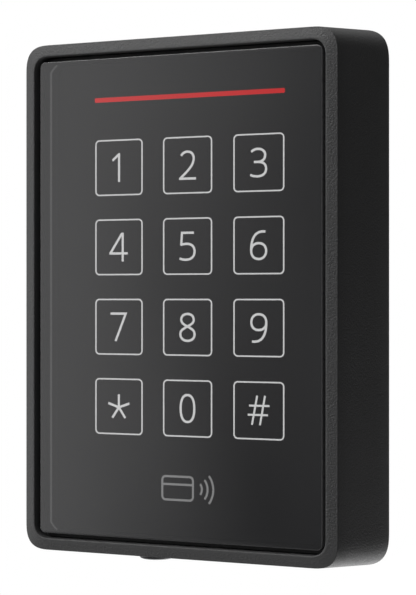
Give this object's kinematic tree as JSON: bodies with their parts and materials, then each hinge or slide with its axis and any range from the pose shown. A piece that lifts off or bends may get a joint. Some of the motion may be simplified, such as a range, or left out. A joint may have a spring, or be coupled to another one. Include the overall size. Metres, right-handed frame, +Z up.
{
  "type": "keypad access reader",
  "caption": "Wall-mounted keypad access reader: dark flared housing, smoked window over lit keys and a status bar, on a hook-on wall bracket locked by a bottom screw.",
  "frame": {"origin": "centre of the wall bracket's back face, on the wall plane", "axes": "+Z up, +Y into the wall, the keypad faces -Y and +X is to the right of a person facing it"},
  "size_m": [0.1084, 0.031, 0.1548],
  "materials": {
    "housing_plastic": "fine matte moulded texture, near-black grey",
    "smoked_window": "gloss smoked window, slightly clear",
    "black_plastic": "satin moulded black",
    "legend_black": "black printed plate",
    "legend_white": "translucent white print, lit from behind",
    "status_red": "translucent light pipe lit red",
    "clear_film": "clear film with fine traces",
    "light_guide": "milky clear moulding",
    "board_green": "solder-masked circuit board",
    "copper": "enamelled copper",
    "ferrite": "dull dark ferrite",
    "chip_black": "matte moulding compound",
    "led_body": "white package with yellow phosphor",
    "tinned_steel": "bright tinned or zinc plated",
    "brass": "turned brass",
    "rubber_black": "soft matte rubber",
    "terminal_green": "moulded polyamide",
    "bracket_grey": "glass-filled nylon, dark grey",
    "dark_steel": "black-passivated steel",
    "white_nylon": "natural nylon"
  },
  "bodies": {
    "wall_bracket": {"wall_bracket": "bracket_grey"},
    "reader": {"housing": "housing_plastic", "front_window": "smoked_window", "window_spacer": "black_plastic", "legend_plate": "legend_black", "touch_film": "clear_film", "key_light_guide": "light_guide", "light_baffle": "black_plastic", "status_light_bar": "status_red", "main_board": "board_green", "antenna_coil": "copper", "antenna_ferrite": "ferrite", "processor": "chip_black", "card_radio_chip": "chip_black", "radio_shield": "tinned_steel", "crystal": "tinned_steel", "buzzer": "chip_black", "inductor": "ferrite", "capacitor": "tinned_steel", "tamper_switch": "black_plastic", "tamper_spring": "tinned_steel", "terminal_header": "terminal_green", "rear_gasket": "rubber_black", "rear_cover": "black_plastic", "vent_membrane": "white_nylon", "lock_insert": "brass", "key_led_1": "led_body", "key_led_2": "led_body", "key_led_3": "led_body", "key_led_4": "led_body", "key_led_5": "led_body", "key_led_6": "led_body", "key_led_7": "led_body", "key_led_8": "led_body", "key_led_9": "led_body", "key_led_10": "led_body", "key_led_11": "led_body", "key_led_12": "led_body", "status_led_1": "led_body", "status_led_2": "led_body", "status_led_3": "led_body", "cover_screw_1": "tinned_steel", "cover_screw_2": "tinned_steel", "cover_screw_3": "tinned_steel", "cover_screw_4": "tinned_steel", "cover_screw_5": "tinned_steel", "cover_screw_6": "tinned_steel", "board_screw_1": "tinned_steel", "board_screw_2": "tinned_steel", "board_screw_3": "tinned_steel", "board_screw_4": "tinned_steel"},
    "lock_washer": {"lock_washer": "white_nylon"},
    "lock_screw": {"lock_screw": "dark_steel"},
    "tamper_plunger": {"tamper_plunger": "white_nylon"},
    "terminal_plug": {"terminal_plug": "terminal_green"}
  },
  "joints": [
    {"name": "reader_tilt", "type": "hinge", "parent": "wall_bracket", "child": "reader", "pos_m": [0, -0.0018, 0.07], "axis": [-1, 0, 0], "range_deg": [0, 12]},
    {"name": "lock_travel", "type": "slide", "parent": "reader", "child": "lock_washer", "axis": [0, 0, 1], "range_m": [0, 0.0045]},
    {"name": "lock_turn", "type": "hinge", "parent": "lock_washer", "child": "lock_screw", "pos_m": [-0.015, -0.016, -0.0756], "axis": [0, 0, 1], "range_deg": [0, 2026]},
    {"name": "tamper_press", "type": "slide", "parent": "reader", "child": "tamper_plunger", "axis": [0, -1, 0], "range_m": [0, 0.0015], "stiffness_N_per_m": 200, "deforming": ["tamper_spring"]},
    {"name": "plug_pull", "type": "slide", "parent": "reader", "child": "terminal_plug", "axis": [0, 0, -1], "range_m": [0, 0.008]}
  ],
  "couplings": [
    {"joint": "lock_turn", "follows": "lock_travel", "rad_per_m": 7854}
  ]
}
